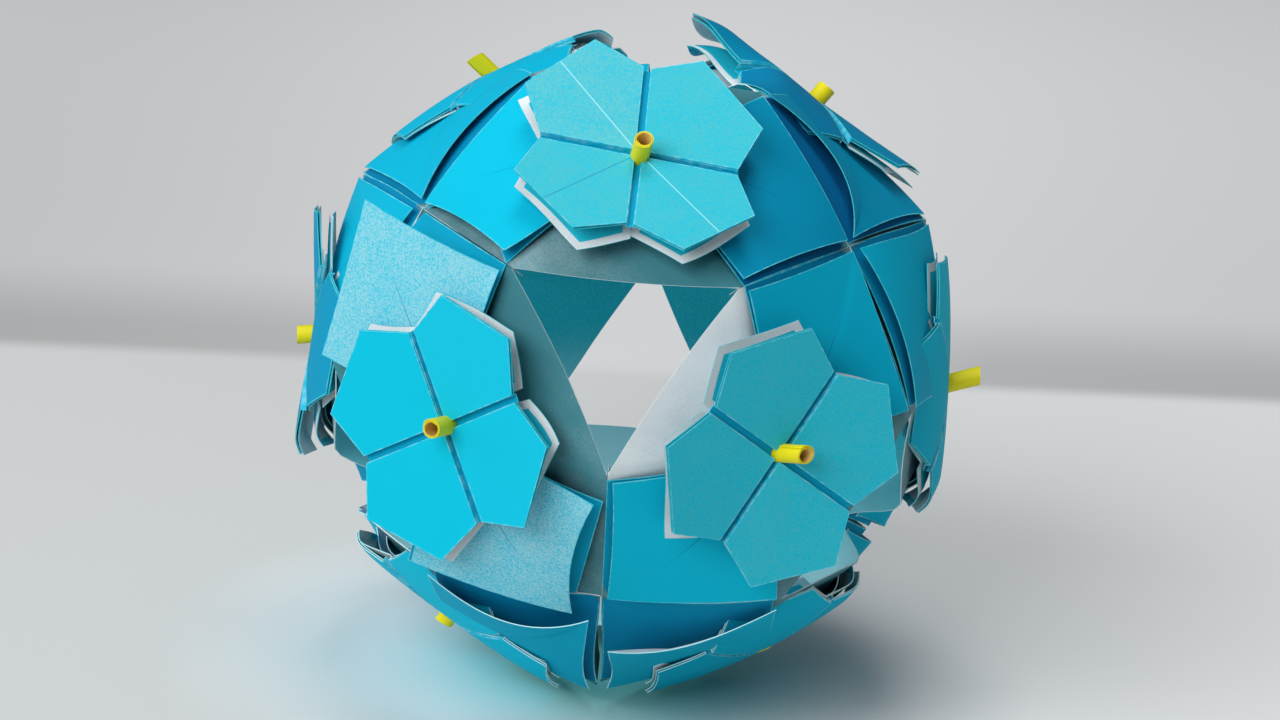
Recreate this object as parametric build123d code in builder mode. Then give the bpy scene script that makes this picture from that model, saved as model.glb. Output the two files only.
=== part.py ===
from build123d import *
import os
from math import radians, sqrt, tan

os.makedirs("parts", exist_ok=True)

# A ball of twelve folded paper units, one on each edge of an octahedron. Each unit is
# one square of paper: a saddle shaped base, two free end flaps over it, and a flower of
# four petals on top, with a rolled paper stamen pushed in between them.
# The ball rests on the petals around one of its eight three-sided openings, and its
# origin is on the table, under its middle.

# Paper: one ply, and how many lie together in each panel
paper = 0.1
base_plies = 3
tab_plies = 2
flap_plies = 4
petal_plies = 2

# Ball: from its centre to the junction of four units, to a corner of an opening and to
# the top of a flower, and the straight fold along one side of an opening
junction_reach = 43.6
corner_reach = 48.57
flower_reach = 47.5
opening_side = 32.3
glue_line = 0.1

# Base: how far its middle lies under the flower, and the glued tabs under its outer edges
base_drop = 2.8
tab_depth = 4.0
tab_end = 0.6
tab_slant = 1.6

# Flaps: height under the flower, the two places where each is softly bent, the radius of
# these bends, the slope beyond each of them, and how far a flap's corner and its point
# stay back along the seam
flap_drop = 1.5
flap_shoulder = 7.0
flap_elbow = 19.0
flap_bend = 12.0
upper_slope = 18
lower_slope = 39
flap_setback = 0.9
flap_point = 0.6

# Flower: length of a groove from the middle, the two outer corners of a petal measured
# along and across the groove, the groove itself, and how far the white leaf under a petal
# shows past it
groove_length = 14.4
petal_long = 17.4
petal_short = 8.0
groove_width = 1.1
groove_depth = 1.3
under_lip = 1.0

# Neck of gathered folds that carries the flower, and the stamen rolled from a strip
neck_side = 7.0
stamen_diameter = 2.5
stamen_bore = 1.7
stamen_proud = 4.3
stamen_play = 0.05

# Thickness of each panel
base_thickness = base_plies * paper
tab_thickness = tab_plies * paper
flap_thickness = flap_plies * paper
petal_thickness = petal_plies * paper

# Places in a unit's own frame: origin at the ball's centre, Z out through the flower,
# X towards a junction, Y towards an opening. The seam planes, y = (z - x) / sqrt(2),
# part a unit from its neighbours, and half the glue line is left on each side of them.
seam_inset = glue_line * sqrt(0.5)
junction = Vector(junction_reach * sqrt(0.5) - glue_line, 0, junction_reach * sqrt(0.5))
corner_x = opening_side / 2
corner_z = (corner_x + sqrt(6 * corner_reach**2 - 8 * corner_x**2)) / 3
corner = Vector(corner_x, (corner_z - corner_x) * sqrt(0.5) - seam_inset, corner_z)
middle = Vector(0, 0, flower_reach - base_drop)

quadrants = [(1, 1), (-1, 1), (-1, -1), (1, -1)]


def mirrored(point, along, across):
    """A point of the first quadrant, taken to another one."""
    return Vector(point.X * along, point.Y * across, point.Z)


def outline(points):
    """A closed flat outline in the plane of the sketch."""
    with BuildSketch() as shape:
        with BuildLine():
            Polyline(*points, close=True)
        make_face()
    return shape.sketch


def folded_panel(first, second, third):
    """A flat three-sided panel of the base, its folds mitred by rising straight up."""
    panel_plane = Plane(first, x_dir=second - first, z_dir=(second - first).cross(third - first))
    if panel_plane.z_dir.Z < 0:
        panel_plane = Plane(first, x_dir=second - first, z_dir=(third - first).cross(second - first))
    with BuildPart() as panel:
        with BuildSketch(panel_plane) as face:
            with BuildLine():
                Polyline(*[panel_plane.to_local_coords(p) for p in (first, second, third)], close=True)
            make_face()
        extrude(face.sketch, amount=base_thickness, dir=(0, 0, 1))
    return panel.part


def glued_tab(along, across):
    """The strip folded inwards under one outer edge, which is glued to the next unit."""
    start = mirrored(junction, along, across)
    end = mirrored(corner, along, across)
    run = (end - start).normalized()
    inside = Vector(-along / 2, -across * sqrt(0.5), 0.5)
    depth = inside.cross(run) * (along * across)
    tab_plane = Plane(start, x_dir=run, z_dir=inside)
    length = (end - start).length
    side = tab_plane.to_local_coords(start + depth).Y
    corners = [
        (tab_end, -side * tab_thickness),
        (length - tab_end, -side * tab_thickness),
        (length - tab_end - tab_slant, side * tab_depth),
        (tab_end + tab_slant, side * tab_depth),
    ]
    with BuildPart() as tab:
        with BuildSketch(tab_plane):
            with BuildLine():
                Polyline(*corners, close=True)
            make_face()
        extrude(amount=tab_thickness)
    return tab.part


def end_flaps():
    """Both end flaps: two squares, corner to corner, bent over the ball from the flower outwards."""
    top = flower_reach - flap_drop
    shift = (junction - corner).normalized() * flap_setback
    flap_corner = Vector(corner.X + shift.X, corner.Y + shift.Y, 0)
    point = junction.X - flap_point
    elbow_z = top - (flap_elbow - flap_shoulder) * tan(radians(upper_slope))
    end_z = elbow_z - (junction.X - flap_elbow) * tan(radians(lower_slope))
    run = [(flap_shoulder, top), (flap_elbow, elbow_z), (junction.X, end_z)]
    with BuildPart() as flaps:
        with BuildSketch(Plane.XZ):
            with BuildLine():
                FilletPolyline(*[(-x, z) for x, z in reversed(run)], *run, radius=flap_bend)
                offset(amount=flap_thickness, side=Side.RIGHT)
            make_face()
        extrude(amount=flap_corner.Y, both=True)
        with BuildSketch(Plane.XY):
            for along in (1, -1):
                with BuildLine():
                    Polyline(
                        (0, 0),
                        (along * flap_corner.X, flap_corner.Y),
                        (along * point, 0),
                        (along * flap_corner.X, -flap_corner.Y),
                        close=True,
                    )
                make_face()
        extrude(amount=flower_reach, mode=Mode.INTERSECT)
    return flaps.part


def petal_outline(start, lip):
    """One petal of the first quadrant: two groove edges, two slanted sides and a straight tip."""
    return [
        (start, start),
        (groove_length + lip, start),
        (petal_long + lip, petal_short + lip / 2),
        (petal_short + lip / 2, petal_long + lip),
        (start, groove_length + lip),
    ]


# One unit, in its own frame
with BuildPart() as unit:
    # Base: two side panels down to the openings, and two end panels with a valley fold
    for across in (1, -1):
        add(folded_panel(middle, mirrored(corner, 1, across), mirrored(corner, -1, across)))
    for along, across in quadrants:
        add(folded_panel(middle, mirrored(corner, along, across), mirrored(junction, along, 1)))
    # Tabs that are glued to the four neighbours
    for along, across in quadrants:
        add(glued_tab(along, across))
    # End flaps, each of two leaves that lie together
    add(end_flaps())
    # Neck of gathered folds, from the base up to the white leaves
    with BuildSketch(Plane.XY.offset(middle.Z)):
        Rectangle(neck_side, neck_side)
    extrude(amount=base_drop - groove_depth - petal_thickness)
    # White leaves under the petals, one sheet that is also the floor of the grooves
    with BuildSketch(Plane.XY.offset(flower_reach - groove_depth - petal_thickness)):
        for along, across in quadrants:
            add(outline([(x * along, y * across) for x, y in petal_outline(0, under_lip)]))
    extrude(amount=petal_thickness)
    # Walls of the grooves
    with BuildSketch(Plane.XY.offset(flower_reach - groove_depth)):
        Rectangle(2 * groove_length, groove_width + 2 * petal_thickness)
        Rectangle(groove_width + 2 * petal_thickness, 2 * groove_length)
        Rectangle(2 * groove_length, groove_width, mode=Mode.SUBTRACT)
        Rectangle(groove_width, 2 * groove_length, mode=Mode.SUBTRACT)
    extrude(amount=groove_depth)
    # Petals
    with BuildSketch(Plane.XY.offset(flower_reach - petal_thickness)):
        for along, across in quadrants:
            add(outline([(x * along, y * across) for x, y in petal_outline(groove_width / 2, 0)]))
    extrude(amount=petal_thickness)
    # Seat of the stamen, on the floor of the grooves between the four petals
    with BuildSketch(Plane.XY.offset(flower_reach - groove_depth)):
        Rectangle(stamen_diameter + 2 * stamen_play, stamen_diameter + 2 * stamen_play)
    extrude(amount=groove_depth, mode=Mode.SUBTRACT)

# One stamen: a strip rolled into a tube
with BuildPart() as stamen:
    with BuildSketch(Plane.XY.offset(flower_reach - groove_depth)):
        Circle(stamen_diameter / 2)
        Circle(stamen_bore / 2, mode=Mode.SUBTRACT)
    extrude(amount=groove_depth + stamen_proud)

# The ball stands on the outer corners of the petals round its lowest opening
ball_height = petal_long * sqrt(1 / 3) + flower_reach * sqrt(2 / 3)
ball_centre = Vector(0, 0, ball_height)

# Six junctions: three in the upper half of the ball and three opposite them
upper_junctions = [
    Vector(sqrt(2 / 3), 0, sqrt(1 / 3)).rotate(Axis.Z, turn) for turn in (90, 210, 330)
]
lower_junctions = [upper * -1 for upper in upper_junctions]


def unit_plane(one, other):
    """The frame of the unit between two junctions, Z out of the ball and X along its edge."""
    return Plane(ball_centre, x_dir=one - other, z_dir=one + other)


# Twelve units in three rings, numbered round the ball
rings = {
    "upper": [unit_plane(upper_junctions[i], upper_junctions[i - 1]) for i in range(3)],
    "middle": [
        unit_plane(upper_junctions[i], lower_junctions[i - turn]) for i in range(3) for turn in (1, 2)
    ],
    "lower": [unit_plane(lower_junctions[i], lower_junctions[i - 1]) for i in range(3)],
}

for ring, planes in rings.items():
    for number, plane in enumerate(planes, start=1):
        with BuildPart(plane) as flower:
            add(unit.part)
        flower.part.label = f"{ring}_flower_{number}"
        export_step(flower.part, f"parts/{flower.part.label}.step")
        with BuildPart(plane) as placed_stamen:
            add(stamen.part)
        placed_stamen.part.label = f"{ring}_stamen_{number}"
        export_step(placed_stamen.part, f"parts/{placed_stamen.part.label}.step")
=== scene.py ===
import math
import random

import bpy
import numpy as np
from bpy.props import FloatProperty, FloatVectorProperty, PointerProperty
from mathutils import Matrix, Vector


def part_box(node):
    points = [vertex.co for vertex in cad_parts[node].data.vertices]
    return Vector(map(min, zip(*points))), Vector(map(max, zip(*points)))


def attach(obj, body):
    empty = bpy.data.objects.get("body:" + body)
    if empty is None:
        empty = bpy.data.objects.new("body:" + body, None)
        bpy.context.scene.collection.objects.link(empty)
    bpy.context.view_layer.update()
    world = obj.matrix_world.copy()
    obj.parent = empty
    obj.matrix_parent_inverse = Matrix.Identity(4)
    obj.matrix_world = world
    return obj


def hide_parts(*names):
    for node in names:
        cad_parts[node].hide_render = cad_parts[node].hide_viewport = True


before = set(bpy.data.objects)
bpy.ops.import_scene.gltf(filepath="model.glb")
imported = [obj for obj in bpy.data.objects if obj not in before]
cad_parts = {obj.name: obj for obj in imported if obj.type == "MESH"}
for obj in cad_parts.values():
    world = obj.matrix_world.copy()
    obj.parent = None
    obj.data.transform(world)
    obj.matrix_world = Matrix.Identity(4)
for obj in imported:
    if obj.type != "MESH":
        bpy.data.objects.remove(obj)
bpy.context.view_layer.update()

bl_info = {
    "name": "Origami Hydrangea Flower",
    "version": (1, 0, 0),
    "blender": (4, 5, 0),
    "location": "3D View > Sidebar > Hydrangea",
    "description": "A ball of twelve folded paper flowers with rolled paper stamens",
    "category": "Add Mesh",
}

MM = 0.001

# Two places nearer to each other than this count as one
NEAR = 0.01 * MM

# Edges that turn by more than this stay sharp
SHARP = math.radians(35)

# Places of the papers in the materials of a unit's sheets and of a stamen's strip
FACE, REVERSE, FOLD, RAW, INSIDE = range(5)
BORE, OUTSIDE = range(2)


def ball_centre():
    """The middle of the ball, half way between each pair of opposite stamens."""
    boxes = [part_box(name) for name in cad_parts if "stamen" in name]
    return sum((low + high for low, high in boxes), Vector()) / (2 * len(boxes))


def unit_frames():
    """The frame of each unit: Z out through its flower, X along its edge of the octahedron."""
    turns = [math.radians(turn) for turn in (90, 210, 330)]
    reach, height = math.sqrt(2 / 3), math.sqrt(1 / 3)
    upper = [Vector((reach * math.cos(turn), reach * math.sin(turn), height)) for turn in turns]
    lower = [-junction for junction in upper]
    rings = {
        "upper": [(upper[i], upper[i - 1]) for i in range(3)],
        "middle": [(upper[i], lower[i - turn]) for i in range(3) for turn in (1, 2)],
        "lower": [(lower[i], lower[i - 1]) for i in range(3)],
    }
    frames = {}
    for ring, edges in rings.items():
        for number, (one, other) in enumerate(edges, start=1):
            out = (one + other).normalized()
            along = (one - other).normalized()
            turn = Matrix((along, out.cross(along), out)).transposed().to_4x4()
            frames[ring, number] = Matrix.Translation(ball_centre()) @ turn
    return frames


def size_setting(name, description, size):
    """A length that a user can change, with its default in millimetres."""
    return FloatProperty(name=name, description=description, default=size * MM, unit="LENGTH")


def angle_setting(name, description, angle):
    """An angle that a user can change, with its default in degrees."""
    return FloatProperty(
        name=name, description=description, default=math.radians(angle), unit="ROTATION")


def colour_setting(name, description, colour):
    """A colour that a user can change."""
    return FloatVectorProperty(
        name=name, description=description, default=colour, subtype="COLOR", min=0, max=1)


class PaperSizes(bpy.types.PropertyGroup):
    """Sizes of the folded units, as part of the scene."""

    flower_reach: size_setting("Flower reach", "From the ball's middle to a flower's middle", 47.5)
    junction_reach: size_setting(
        "Junction reach", "From the ball's middle to where four units meet", 43.6)
    corner_reach: size_setting("Corner reach", "From the ball's middle to a corner of an opening", 48.5)
    opening_side: size_setting("Opening side", "Straight fold along one side of an opening", 32.3)
    base_drop: size_setting("Base drop", "How far the base lies under the flower", 2.8)
    hem_share: FloatProperty(
        name="Hem share", description="How far the folded hems reach towards the ball's middle",
        default=0.09)
    groove_length: size_setting(
        "Groove length", "From a flower's middle to the notch between two petals", 14.4)
    groove_width: size_setting("Groove width", "Gap between two petals", 1.05)
    groove_depth: size_setting("Groove depth", "Depth of the fold between two petals", 0.9)
    petal_long: size_setting("Petal, long way", "From the flower's middle to a petal's far corner", 17.4)
    petal_short: size_setting("Petal, short way", "From the groove's line to a petal's far corner", 8.0)
    under_drop: size_setting(
        "Under leaf drop", "How far the leaf under a petal hangs below the flower", 1.5)
    white_band: size_setting("White band", "White edge of the leaf under a petal", 1.2)
    flap_half: size_setting("Flap half width", "From a flap's middle line to its side corner", 17.1)
    flap_length: size_setting("Flap length", "From the flower's middle to a flap's tip, laid flat", 34.6)
    flap_bend: size_setting("Flap bend", "Radius to which the flaps curl over the ball", 41.0)
    flap_drop: size_setting("Flap drop", "How far a flap starts under the flower", 1.5)
    leaf_gap: size_setting("Leaf gap", "Between the two leaves of a flap", 0.55)
    leaf_lip: size_setting("Leaf lip", "How far the lower leaf of a flap shows past the upper one", 0.35)
    ply: size_setting("Ply", "Thickness of one folded layer", 0.14)
    fold_width: size_setting("Fold line", "Width of the worn line along a fold", 0.13)
    cell: size_setting("Cell", "Size of the faces of a sheet", 0.8)


class StamenSizes(bpy.types.PropertyGroup):
    """Sizes of the stamens, each rolled from a strip of yellow paper."""

    diameter: size_setting("Diameter", "Across the rolled tube", 2.5)
    bore: size_setting("Bore", "Across the hole down its middle", 1.7)
    proud: size_setting("Height", "How far a stamen stands above its flower", 4.3)
    rooted: size_setting("Root", "How far it reaches down into the flower", 2.2)
    turns: FloatProperty(name="Turns", description="Turns of the rolled strip", default=2.3)
    paper: size_setting("Paper", "Thickness of the strip", 0.11)


class PaperColours(bpy.types.PropertyGroup):
    """Colours of the papers, and of the painted shade, sheen and light on them."""

    turquoise: colour_setting("Turquoise", "Coloured side of the paper", (0.001, 0.50, 0.69))
    # Painted shade on the coloured side: where a sheet is painted darker, on lower leaves, groove floors
    # and dark creases
    painted_shade: colour_setting(
        "Deep turquoise", "Coloured side where sheets lie close together", (0.0, 0.14, 0.34))
    # Painted faint sheen: greener fibres where a sheet has a little painted light
    faint_sheen: colour_setting("Sea", "Greener fibres in the coloured side", (0.13, 0.50, 0.46))
    # Painted sheen: pale fibres where the coloured side catches the light most
    painted_sheen: colour_setting("Bloom", "Pale fibres where the coloured side is rubbed", (0.42, 0.68, 0.74))
    worn: colour_setting("Worn fold", "Pale line along a fold or a crease", (0.36, 0.80, 0.86))
    white: colour_setting("White", "Back of the paper", (0.84, 0.89, 0.91))
    # Painted shade on the back of the paper, in grey teal
    shaded: colour_setting(
        "Shaded white", "Back of the paper where the dye shows through", (0.045, 0.21, 0.25))
    # Painted light inside the hollow: the lining is a teal copy of the turquoise that stands in for it lit
    # through the paper, paler low in the ball, and the paper emits painted light as if lit from behind
    lining: colour_setting("Lining", "Coloured side that lines the hollow", (0.02, 0.42, 0.50))
    lining_fibre: colour_setting("Lining fibres", "Pale fibres in the lining", (0.10, 0.55, 0.62))
    low_lit_lining: colour_setting("Low lining", "Lining low in the ball", (0.60, 0.90, 0.94))
    painted_glow: colour_setting("Glow", "Light that comes through the lining", (0, 0.035, 0.045))
    low_painted_glow: colour_setting("Low glow", "Light through it low in the ball", (0.13, 0.20, 0.21))
    yellow: colour_setting("Yellow", "Paper of the stamens", (0.82, 0.70, 0.003))
    yellow_fibre: colour_setting("Yellow fibres", "Fibres in that paper", (0.82, 0.76, 0.04))
    tan: colour_setting("Inner yellow", "Cut edges and bore of the stamens", (0.80, 0.55, 0.16))
    tan_fibre: colour_setting(
        "Inner fibres", "Fibres in those edges and bores", (0.86, 0.76, 0.30))


class StageSettings(bpy.types.PropertyGroup):
    """Camera, table and room."""

    lens: FloatProperty(name="Lens", description="Focal length in mm", default=154.2)
    distance: size_setting("Distance", "From the camera to the ball", 814.7)
    azimuth: angle_setting("Azimuth", "How far the camera stands to the right", 2.26)
    elevation: angle_setting("Elevation", "How far the camera looks down", 16.86)
    roll: angle_setting("Roll", "Tilt of the camera about its own axis", 4.49)
    aim: size_setting("Aim", "How far right of the ball's middle the camera looks", 1.4)
    wall: size_setting(
        "Wall", "From the ball's middle back to the line that stands for a wall's foot", 152)
    floor_colour: colour_setting("Floor", "Colour of the floor", (0.625, 0.635, 0.63))
    # Painted shadow round the ball's foot, tinted turquoise as a painted reflection of the ball
    foot_shadow_colour: colour_setting("Foot", "Tint of the floor round the ball's foot", (0.28, 0.72, 0.70))
    # Painted light that the lit left side of the ball throws on the floor
    bounce_light_colour: colour_setting(
        "Glow", "Floor that the lit side of the ball throws light on", (0.84, 0.95, 0.97))
    # Painted shade at the wall's foot
    wall_foot_shade: colour_setting("Wall's foot", "Colour just behind that line", (0.50, 0.50, 0.50))
    wall_colour: colour_setting("Wall colour", "Colour further behind that line", (0.70, 0.70, 0.71))
    wall_turn: angle_setting("Wall turn", "How far that line's left end comes forward", 8.5)
    room_light: colour_setting("Room light", "Colour of the light all round", (0.75, 0.8, 0.85))
    room_strength: FloatProperty(
        name="Room strength", description="Strength of the light all round", default=0.20)
    room_colour: colour_setting(
        "Room", "What the camera sees past the table", (0.56, 0.57, 0.58))


# The three units that face the camera. Their paper is neither crumpled nor slack.
FRONT_UNITS = [("upper", 3), ("middle", 3), ("middle", 6)]

# How each unit was bent by hand, in degrees and millimetres. A flower has the turns of its
# long and its cross groove, how far it rises towards the openings and droops at its rim, and
# how far it sags along X and Y on the side that was pressed, of which SAG_SHARE shows at the
# end of a groove. Slack is about the most that a petal's tip stands off or hangs. The second
# ply lies a drop below its petal, and it and the pale leaf take shares of its rise and slack.
FLOWER_TURNS = {
    ("upper", 3): (-7.5, 0.5),
    ("middle", 3): (-6.5, -4.0),
    ("middle", 6): (1.5, 0.5),
}
FLOWER_LIES = {
    ("upper", 3): (2.0, 0),
    ("middle", 3): (1.7, 0),
    ("middle", 6): (1.3, 0),
    ("upper", 1): (1.0, 0.5),
    ("middle", 4): (1.0, 0.5),
}
USUAL_LIE = (0, 0.8)
FLOWER_SAGS = {
    ("upper", 1): (-3.0, 2.1),
    ("upper", 2): (3.0, 2.1),
    ("middle", 4): (2.7, -2.1),
    ("middle", 5): (2.7, 2.1),
    ("lower", 1): (3.0, 1.9),
    ("lower", 2): (-3.0, 1.9),
}
SAG_SHARE = 0.7
PETAL_SLACK = 1.1
PLY_DROP = 0.3
PLY_SHARES = (0.9, 0.95)
UNDER_SHARES = (0.1, 0.5)

# A flap, by the X end that it lies on, has its turn, its share of the usual bend, and the
# lifts of its +Y corner, its -Y corner and its tip. A bow is how far the +Y and the -Y edge of
# a leaf have drawn back from the seam. It fades inwards over BOW_REACH, and lifts the edge by
# CURL_SHARE of itself.
EVEN_FLAPS = [
    ("upper", 1, -1), ("upper", 2, 1), ("upper", 3, 1), ("middle", 4, 1), ("middle", 5, 1),
    ("middle", 6, 1), ("middle", 6, -1),
]
FLAP_LIFTS = {
    **dict.fromkeys(EVEN_FLAPS, (0, 1.0, 0, 0, 0)),
    ("upper", 3, -1): (0, 1.0, 0, 1.8, 0),
    ("middle", 3, 1): (-2, 0.15, 0, -1.5, 0),
    ("middle", 3, -1): (-7, 0.95, 0, 1.5, 0.5),
    ("lower", 1, 1): (0, 0.8, 0, 0, 0),
    ("lower", 1, -1): (2, 0.8, 3.0, 0, 0),
    ("lower", 2, -1): (0, 0.8, 0, 0, 5.0),
}
FLAP_BOWS = {
    ("upper", 3, -1): (0.3, 0.8),
    ("middle", 3, -1): (0.3, 1.5),
    ("middle", 6, 1): (0.3, 1.2),
    ("upper", 1, -1): (4.0, 0.5),
    ("upper", 2, 1): (1.4, 0.5),
    ("middle", 5, 1): (0.8, 0.5),
    ("lower", 1, 1): (3.6, 0.3),
    ("lower", 2, -1): (3.0, 0.3),
}
USUAL_BOWS = (0.3, 0.3)
LOWER_LEAF_TURNS = {("middle", 3, -1): -9}
LOWER_LEAF_BOWS = {("upper", 3, -1): (0, 3.0)}
LOWER_LEAF_BEND = 1.06
BOW_REACH = 7
CURL_SHARE = 0.35

# How far the long edges of a base bow outwards, and the cuts of each edge of its panels
BASE_BOW = 0.8
BASE_CUTS = 15

# A stamen's leans along X and Y, in degrees, and how far it is pushed in. It meets the base
# after STAMEN_ROOM, and is trimmed by what is more. Its turns are uneven at the top by
# ROLL_SKEW, and its strip has as many faces each way as STRIP_CELLS.
STAMEN_LEANS = {
    ("upper", 3): (7, -8, 0),
    ("middle", 3): (3, -10, -0.3),
    ("middle", 6): (20, -5, 0),
    ("upper", 2): (30, -5, 1.4),
    ("upper", 1): (5, -10, 1.8),
    ("middle", 4): (-5, -8, 2.0),
    ("middle", 5): (14, -14, 0),
    ("lower", 1): (-34, -20, 3.7),
    ("lower", 2): (30, -30, 4.4),
}
USUAL_SUNK = 0.3
STAMEN_ROOM = 0.3
ROLL_SKEW = 0.12
STRIP_CELLS = 72

# Where the ball came loose and was pushed in: the unit in whose frame it is, the place and
# how far it moved, and how far round such a place the paper follows, in millimetres
LOOSE_PLACES = [
    (("upper", 1), (16, 18, 42), (-3, -6, -10)),
    (("upper", 1), (0, 18, 42), (0, -2.5, -5)),
    (("upper", 1), (12, 17, 47.5), (2, 4, 1)),
    (("upper", 2), (-12, 17, 47.5), (0, -1.0, -1.5)),
    (("middle", 4), (-16, -18, 42), (2, 1.3, -8)),
    (("middle", 5), (-16, 18, 42), (0, -4, -8)),
]
LOOSE_REACH = 12.5

# Unevenness of folded paper, in millimetres: the waves of a petal, a flap and a base, the
# crumples of a unit and the frills of a pale leaf, the least length of a wave over 2 pi, how
# many lie over each other and the span of their starts, in radians. Crumples and frills lie
# this many times closer than waves.
PETAL_WAVE, FLAP_WAVE, BASE_WAVE = 0.12, 0.2, 0.25
CRUMPLE, FRILL = 0.6, 1.1
WAVE_SPREAD = 9
WAVES = 4
WAVE_STARTS = 6.3
CRUMPLE_PITCH, FRILL_PITCH = 2, 3

# Painted light, from -1 for painted shade to 1 for painted sheen: of the petals in each quadrant
# and of the flaps, whose lower leaf has LEAF_SHADE more painted shade. The base has painted shade
# towards its -X and towards its +X end, where 0 is white and 1 is shaded, and at least END_TONE
# outside them. TONE_PLACES are these four places along X, in millimetres. Past BACK_EDGE along Y it
# has at least its back shade. A crease runs down the middle of a petal, a pale worn line at 1 and
# painted shade at -1.
PETAL_SHADE_AND_SHEEN = {
    ("upper", 3): (0.5, 0.62, 0.5, 0.45),
    ("middle", 3): (0.0, 0.0, 0.02, 0.04),
    ("middle", 6): (0.3, 0.3, 0.34, 0.3),
    ("upper", 1): (-0.7, -0.8, -0.7, -0.6),
    ("upper", 2): (-0.3, -0.4, -0.2, -0.3),
    ("middle", 4): (-0.6, -0.7, -0.75, -0.6),
    ("middle", 5): (-0.1, -0.05, -0.2, 0.1),
    ("lower", 2): (-0.2, -0.15, -0.2, -0.2),
}
USUAL_PETAL_SHADE_AND_SHEEN = (0.05, 0.0, 0.05, 0.0)
FLAP_SHADE_AND_SHEEN = {
    ("upper", 3, -1): -0.1,
    ("upper", 3, 1): -0.6,
    ("middle", 3, 1): 0.85,
    ("middle", 3, -1): 0.95,
    ("middle", 6, 1): -0.3,
    ("middle", 6, -1): -0.1,
    ("upper", 1, -1): -0.6,
    ("upper", 1, 1): -0.5,
    ("upper", 2, 1): -0.3,
    ("middle", 4, 1): -0.3,
    ("middle", 4, -1): -0.5,
    ("middle", 5, 1): -0.3,
    ("lower", 2, -1): -0.2,
    ("lower", 1, 1): -0.3,
}
USUAL_FLAP_SHADE_AND_SHEEN = -0.15
LEAF_SHADE = 0.45
# The second ply and the pale leaf under a petal get a little painted sheen, and the grooves' floors
# painted shade
PLY_SHEEN, UNDER_SHEEN, GROOVE_SHADE = 0.2, 0.15, -0.4
CREASES = {
    ("upper", 3, 1): 1,
    ("upper", 3, 2): -0.8,
    ("upper", 3, 3): 1,
}
# Painted shade of each unit's base towards its -X and its +X end, and on the -Y side of one base
BASE_SHADES = {
    ("upper", 3): (0.7, 1.1),
    ("middle", 3): (0.85, 1.1),
    ("middle", 6): (0.12, 0.0),
    ("upper", 1): (0.35, 0.35),
    ("upper", 2): (0.7, 0.7),
    ("lower", 1): (1.0, 1.0),
    ("lower", 2): (0.85, 1.0),
}
USUAL_BASE_SHADES = (0.7, 0.7)
BACK_SHADES = {("middle", 6): 0.8}
END_TONE = 0.8
TONE_PLACES = (-22, -16, 16, 22)
BACK_EDGE = -6

# Size of a paper's fine fibres, how far they stand out, and size of the soft clouds in it
FIBRE = 0.28 * MM
FIBRE_DEPTH = 0.02 * MM
CLOUD = 5 * MM

WHITE, BLACK = (1, 1, 1), (0, 0, 0)


class Socket:
    """A socket of a material, so that its maths is written as an expression."""

    def __init__(self, paint, socket):
        self.paint = paint
        self.socket = socket

    def math(self, operation, *others):
        return self.paint.node("ShaderNodeMath", {"operation": operation}, [self, *others])

    def __add__(self, other):
        return self.math("ADD", other)

    __radd__ = __add__

    def __sub__(self, other):
        return self.math("SUBTRACT", other)

    def __rsub__(self, other):
        return self.paint.node("ShaderNodeMath", {"operation": "SUBTRACT"}, [other, self])

    def __mul__(self, other):
        return self.math("MULTIPLY", other)

    __rmul__ = __mul__

    def clipped(self, low, high):
        """0 under low, 1 over high and smooth between them."""
        return self.paint.node(
            "ShaderNodeMapRange", {"interpolation_type": "SMOOTHSTEP"},
            {"Value": self, "From Min": low, "From Max": high})


class Paint:
    """A node-based material, whose patterns follow its place in Object coordinates."""

    def __init__(self, name):
        self.material = bpy.data.materials.new(name)
        self.material.use_nodes = True
        self.tree = self.material.node_tree
        self.tree.nodes.clear()
        self.place = self.node("ShaderNodeTexCoord", {}, {}, output="Object")

    def node(self, kind, settings, sockets, output=0):
        """Adds a node: first its settings, then the values or links of its sockets."""
        node = self.tree.nodes.new(kind)
        for name, value in settings.items():
            setattr(node, name, value)
        pairs = sockets.items() if isinstance(sockets, dict) else enumerate(sockets)
        for name, value in pairs:
            if isinstance(value, Socket):
                self.tree.links.new(value.socket, node.inputs[name])
            else:
                node.inputs[name].default_value = value
        return Socket(self, node.outputs[output] if node.outputs else None)

    def mix(self, factor, low, high):
        """Colour from low to high."""
        colours = [tuple(c) + (1,) if not isinstance(c, Socket) else c for c in (low, high)]
        return self.node(
            "ShaderNodeMix", {"data_type": "RGBA"}, {0: factor, 6: colours[0], 7: colours[1]}, output=2)

    def noise(self, size, detail=2.0):
        """Soft noise whose features are about as large as size."""
        return self.node(
            "ShaderNodeTexNoise", {}, {"Vector": self.place, "Scale": 1 / size, "Detail": detail})

    def mark(self, name):
        """A value that each sheet carries in its own mesh."""
        return self.node("ShaderNodeAttribute", {"attribute_name": name}, {}, output="Fac")

    def coordinate(self, place, axis):
        """One coordinate of a place."""
        return self.node("ShaderNodeSeparateXYZ", {}, [place], output=axis)

    def bump(self, height, strength, depth=FIBRE_DEPTH):
        return self.node(
            "ShaderNodeBump", {}, {"Height": height, "Strength": strength, "Distance": depth})

    def finish(self, colour, roughness, normal, specular=0.3, painted_glow=(0, 0, 0, 1)):
        """The shader of a paper. Painted light that the paper emits stands in for light from behind."""
        shader = self.node("ShaderNodeBsdfPrincipled", {}, {
            "Base Color": colour,
            "Roughness": roughness,
            "Normal": normal,
            "Specular IOR Level": specular,
            "Emission Color": painted_glow,
            "Emission Strength": 1.0,
        })
        self.node("ShaderNodeOutputMaterial", {}, {"Surface": shader})
        return self.material


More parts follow.
